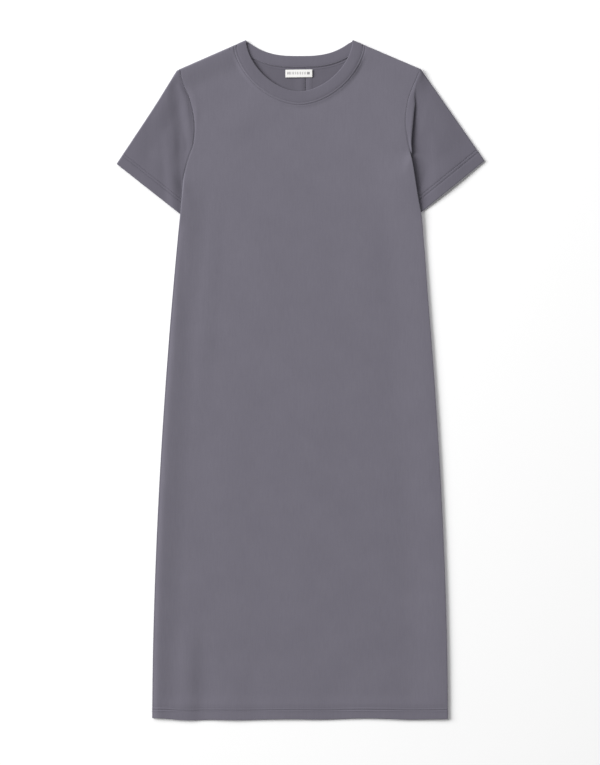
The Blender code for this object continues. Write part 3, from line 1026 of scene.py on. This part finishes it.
def makeNeckband():
    look = bandLook
    section = bandSection()
    radius = cloth["fold"]

    def flat(edge, way, z, facing):
        rings = []
        for point, direction, height in zip(edge, way, z):
            rings.append([(*(point + direction * out), height + facing * up) for out, up in section])
        return rings

    def around(side, angles):
        rings = []
        for turn in np.radians(angles):
            out = np.array((*(offShoulder[side] * math.cos(turn)), math.sin(turn)))
            axis = np.array((*(neckPoint[side] - offShoulder[side] * radius), radius))
            along = np.array((*alongShoulder[side], 0))
            middle = axis + out * (radius - look["thick"])
            rings.append([middle + along * across + out * up for across, up in section])
        return rings

    angles = np.linspace(-90, 90, 13)  # round each shoulder's fold, and clear of its ends on the flat
    edge, way = frontNeck(np.linspace(0, 1, 72)[2:-2])
    backEdge, backWay = backNeck(np.linspace(1, -1, 50)[2:-2])
    rings = around(-1, angles) + flat(edge, way, bandMiddle(edge[:, 1]), 1) + around(1, angles[::-1])
    rings += flat(backEdge, backWay, np.full(len(backEdge), look["thick"] + look["crown"]), -1)
    grid = np.array([*rings, rings[0]])
    grid = np.concatenate((grid, grid[:, :1]), axis=1)
    points, faces = weld([grid])
    piece = addPiece("neckbandCollar", points, [face[::-1] for face in faces], bandShadedJersey)
    return finished(piece, 70)


neckband = makeNeckband()
print("neckband made")

# Seam allowance inside the back, and the label.

allowanceLook = {
    "width": 10.5,
    "thick": 0.1,
    "wall": 0.25,
    "feather": 0.2,  # how much lower its raw edge lies
    "above": 0.03,
    "gap": 2.4,  # from the seam
    "top": 556,
    "bottom": 300,
}


def makeAllowance():
    look = allowanceLook
    width = look["width"]
    across = np.array([0, 0.3, 1, 3, 5, 7, 9, width - 0.4, width])
    rounded = look["thick"] * roundEdge(across, 0.4) - look["feather"] * (across / width) ** 3
    grid = []
    for y in spaced(look["top"], look["bottom"], 4):
        wander = 0.25 * math.sin(y / 17) + 0.2 * math.sin(y / 7.3)  # its raw edge isn't quite straight
        x = outline["centreSeam"] + look["gap"] + across * (1 + wander / width)
        level = np.full(len(x), y)
        z = backHeight(x, level) + cloth["wall"] + look["above"] + rounded
        grid.append(np.stack((x, level, z), axis=1))
    return makeCloth("centreSeamAllowance", [np.array(grid)], purlShadedJersey, flip=True, wall=look["wall"])


centreSeamAllowance = makeAllowance()

labelBox = cadBox("label")
labelMiddle = (labelBox[0] + labelBox[1]) / 2
labelSize = labelBox[1] - labelBox[0]


def makeLabel():
    look = labelLook
    halfX, halfY = (size * half for size, half in zip(labelSize, look["half"]))
    xs = np.array([-1, -0.992, -0.975, *np.linspace(-0.95, 0.95, 25), 0.975, 0.992, 1]) * halfX
    ys = np.array([-1, -0.97, -0.9, *np.linspace(-0.8, 0.8, 9), 0.9, 0.97, 1]) * halfY
    x, y = np.meshgrid(xs, ys, indexing="ij")
    waves = 0.12 * np.sin(x / 7) * np.cos(y / 6)
    z = labelBox[1][2] + look["proud"] + waves - look["endDroop"] * (x / halfX) ** 2
    rim = np.minimum(halfX - np.abs(x), halfY - np.abs(y))
    z = z - look["rimDroop"] * (1 - roundEdge(rim, 0.6))
    y = y - look["lower"] + look["skew"] * x
    grid = np.stack((x + labelMiddle[0], y + labelMiddle[1], z), axis=-1)
    return makeCloth("wovenLabel", [grid], labelMaterial(look, labelMiddle), wall=look["thick"])


wovenLabel = makeLabel()
print("label made")

# Stitches.

stitchLook = {"length": 2.7, "gap": 0.7, "radius": 0.33, "facets": 6, "proud": 0.1}


def placesAlong(points, normals, step):  # every step along a row: the place, the way on, and up
    runs = np.concatenate(([0], np.linalg.norm(np.diff(points, axis=0), axis=1).cumsum()))

    def at(distances, values):
        return np.stack([np.interp(distances, runs, values[:, k]) for k in range(3)], axis=1)

    middles = np.arange(step / 2, runs[-1], step)
    way = unit(at(middles + 0.8, points) - at(middles - 0.8, points))
    return at(middles, points), way, unit(at(middles, normals))


def makeStitches(name, rows, material, look=stitchLook):
    stations = (  # along a stitch: how far, as a share of its length, how thick and how high
        *((-0.5, 0.15, -0.5), (-0.42, 0.75, -0.1), (-0.2, 1.0, 0.15)),
        *((0.2, 1.0, 0.15), (0.42, 0.75, -0.1), (0.5, 0.15, -0.5)),
    )
    facets = look["facets"]
    points, faces = [], []
    for rowPoints, rowNormals in rows:
        for place, way, up in zip(*placesAlong(rowPoints, rowNormals, look["length"] + look["gap"])):
            across = np.cross(way, up)
            start = len(points)
            for at, size, rise in stations:
                middle = place + way * at * look["length"] + up * (rise * look["radius"] + look["proud"])
                for angle in 2 * math.pi * np.arange(facets) / facets:
                    out = across * math.cos(angle) + up * math.sin(angle)
                    points.append(middle + out * look["radius"] * size)
            last = len(points) - facets
            for ring in range(start, last, facets):
                for k in range(facets):
                    a, b = ring + k, ring + (k + 1) % facets
                    faces.append((a, a + facets, b + facets, b))
            faces.append(tuple(range(start, start + facets)))
            faces.append(tuple(range(last, last + facets))[::-1])
    return finished(addPiece(name, points, faces, material), 80)


def rowOfGrid(grid, facing, coordinate, value):
    # the line on a grid where a plan coordinate takes a value, for each of the grid's columns
    normals = gridNormals(grid) * facing
    points, ups = [], []
    for column, normal in zip(grid, normals):
        places = coordinate(column)
        k = int(np.argmax(places <= value)) if (places <= value).any() else len(places) - 1
        t = (places[k - 1] - value) / max(places[k - 1] - places[k], 1e-9)
        points.append(column[k - 1] + (column[k] - column[k - 1]) * t)
        ups.append(normal[k])
    return np.array(points), unit(np.array(ups))


def hemCoordinate(column):
    return column[: len(dropRows) + len(shareRows) + len(levels), 1] - hemY


def cuffRows(grid, side, fromCuff):
    return [rowOfGrid(grid, -side, lambda column: fromCuff, row) for row in sleeveLook["stitches"]]


neckRow = ringRows.index(frontLook["topstitch"])
ringUp = gridNormals(frontRing) * np.where(gridNormals(frontRing)[..., 2:] < 0, -1, 1)
frontRows = [rowOfGrid(frontGrid, -1, hemCoordinate, row) for row in hemStitches]
frontRows.append((frontRing[:, neckRow], ringUp[:, neckRow]))
frontStitches = makeStitches("frontStitches", frontRows, thread)
backRows = []
for grid, facing in ((backLeftGrid, 1), (backRightGrid, -1)):
    backRows += [rowOfGrid(grid, facing, hemCoordinate, row) for row in hemStitches]
backStitches = makeStitches("backStitches", backRows, thread)

# Thick near-black stitches along the centre seam: real thread, made dark as painted shade for the seam's
# groove.
seamLook = {**stitchLook, "gap": 0.2, "radius": 0.7, "proud": -0.3, "beside": 0.6, "above": 0.1}
seamDown = np.arange(553, 470, -2.0)
seamX = np.full(len(seamDown), outline["centreSeam"] + seamLook["beside"])
seamZ = backHeight(seamX, seamDown) + cloth["wall"] + seamLook["above"]
seamRow = (np.stack((seamX, seamDown, seamZ), axis=1), np.tile((0.0, 0.0, 1.0), (len(seamDown), 1)))
seamShadeStitches = makeStitches("centreSeamShadeStitches", [seamRow], seamShadeThread, seamLook)
cuffStitchesLeft = makeStitches("cuffStitchesLeft", cuffRows(sleeveLeftGrid, -1, leftFromCuff), thread)
cuffStitchesRight = makeStitches("cuffStitchesRight", cuffRows(sleeveRightGrid, 1, rightFromCuff), thread)
print("stitches made", len(frontStitches.data.polygons), len(cuffStitchesLeft.data.polygons))

# What rides and replaces what.

backs = ["back_left", "back_right"]
backSewing = [backStitches, centreSeamAllowance, seamShadeStitches]
# Each piece with its slot, the width and length of its cut as far as it shows and the area of that,
# in metres, what it lies on and what is sewn to it.
pieces = {
    "front": (frontPanel, "jersey", (0.525, 1.2), 0.528, backs, [frontStitches]),
    "back_left": (backLeft, "jersey", (0.27, 1.2), 0.278, [], backSewing),
    "back_right": (backRight, "jersey", (0.255, 1.2), 0.258, [], []),
    "sleeve_left": (sleeveLeft, "jersey", (0.28, 0.215), 0.04, [], [cuffStitchesLeft]),
    "sleeve_right": (sleeveRight, "jersey", (0.28, 0.215), 0.042, [], [cuffStitchesRight]),
    "neckband": (neckband, "neckband_jersey", (0.52, 0.019), None, backs, []),
    "label": (wovenLabel, "woven_label", (0.0465, 0.0135), None, backs, []),
}
for node, (piece, slot, *_, sewnOn) in pieces.items():
    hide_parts(node)
    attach(piece, "root")
    for sewn in sewnOn:
        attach(sewn, "root")
for piece, _, flat, area, under, sewnOn in pieces.values():
    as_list(under)
    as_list(sewnOn)

# Table, light and camera.

studio = {
    "table": "#f9f9f9",
    "tableHalf": 30,  # half its width, in metres
    "tableDrop": 0.0006,  # below the lowest threads
    "lamps": (  # where each stands, in metres, how wide it is and its watts
        ("softbox", (-10.3, 3.5, 6.7), 8.4, 2130),
        ("top softbox", (-2.4, 4.3, 4.3), 4.6, 160),
        ("softbox below", (1.5, 1.0, -4.0), 3.0, 420),  # only reaches what lies on the table
    ),
    "fill": 0.25,
    "touching": 4,  # light from below reaches cloth this close to the table, in millimetres
    "cameraHeight": 7.0,
    "frameHeight": 1.325,  # how much of the table the long side of the picture takes in
    "middle": (-0.001, -0.003),
    "sensor": 36,
}


def makeTable():
    look = studio
    size, z = look["tableHalf"], -look["tableDrop"]
    corners = [(-size, -size, z), (size, -size, z), (size, size, z), (-size, size, z)]
    # Matt white laminate. From below it is clear, so that the dress's back can be looked at.
    material, tree, shader, _ = newMaterial("matt white table")
    colour = linear(look["table"])
    setInputs(shader, {"Base Color": colour, "Roughness": 0.9, "Specular IOR Level": 0.0})
    below = addNode(tree, "NewGeometry").outputs["Backfacing"]
    ran = addNode(tree, "LightPath").outputs["Ray Length"]
    near = addNode(tree, "Math", {"operation": "LESS_THAN"}, {0: ran, 1: look["touching"] * mm})
    clear = addNode(tree, "Math", {"operation": "MAXIMUM"}, {0: below, 1: near})
    mixed = addNode(tree, "MixShader", inputs={0: clear, 1: shader, 2: addNode(tree, "BsdfTransparent")})
    setInputs(tree.nodes["Material Output"], {"Surface": mixed})
    addPiece("table", np.array(corners) / mm, [(0, 1, 2, 3)], material)


def makeStudio():
    look = studio
    world = bpy.data.worlds.new("studio")
    world.use_nodes = True
    setInputs(world.node_tree.nodes["Background"], {"Color": (1, 1, 1, 1), "Strength": look["fill"]})
    bpy.context.scene.world = world

    for name, place, width, watts in look["lamps"]:
        lamp = bpy.data.lights.new(name, "AREA")
        lamp.shape = "DISK"
        lamp.size = width
        lamp.energy = watts
        stand = addObject(name, lamp)
        stand.location = place
        stand.rotation_euler = (-stand.location).to_track_quat("-Z", "Y").to_euler()

    camera = bpy.data.cameras.new("overhead")
    camera.sensor_width = look["sensor"]
    camera.lens = look["sensor"] * look["cameraHeight"] / look["frameHeight"]
    camera.clip_end = 100
    overhead = addObject("overhead", camera)
    overhead.location = (*look["middle"], look["cameraHeight"])
    bpy.context.scene.camera = overhead
    bpy.context.scene.view_settings.view_transform = "Standard"


makeTable()
makeStudio()
print("studio made")
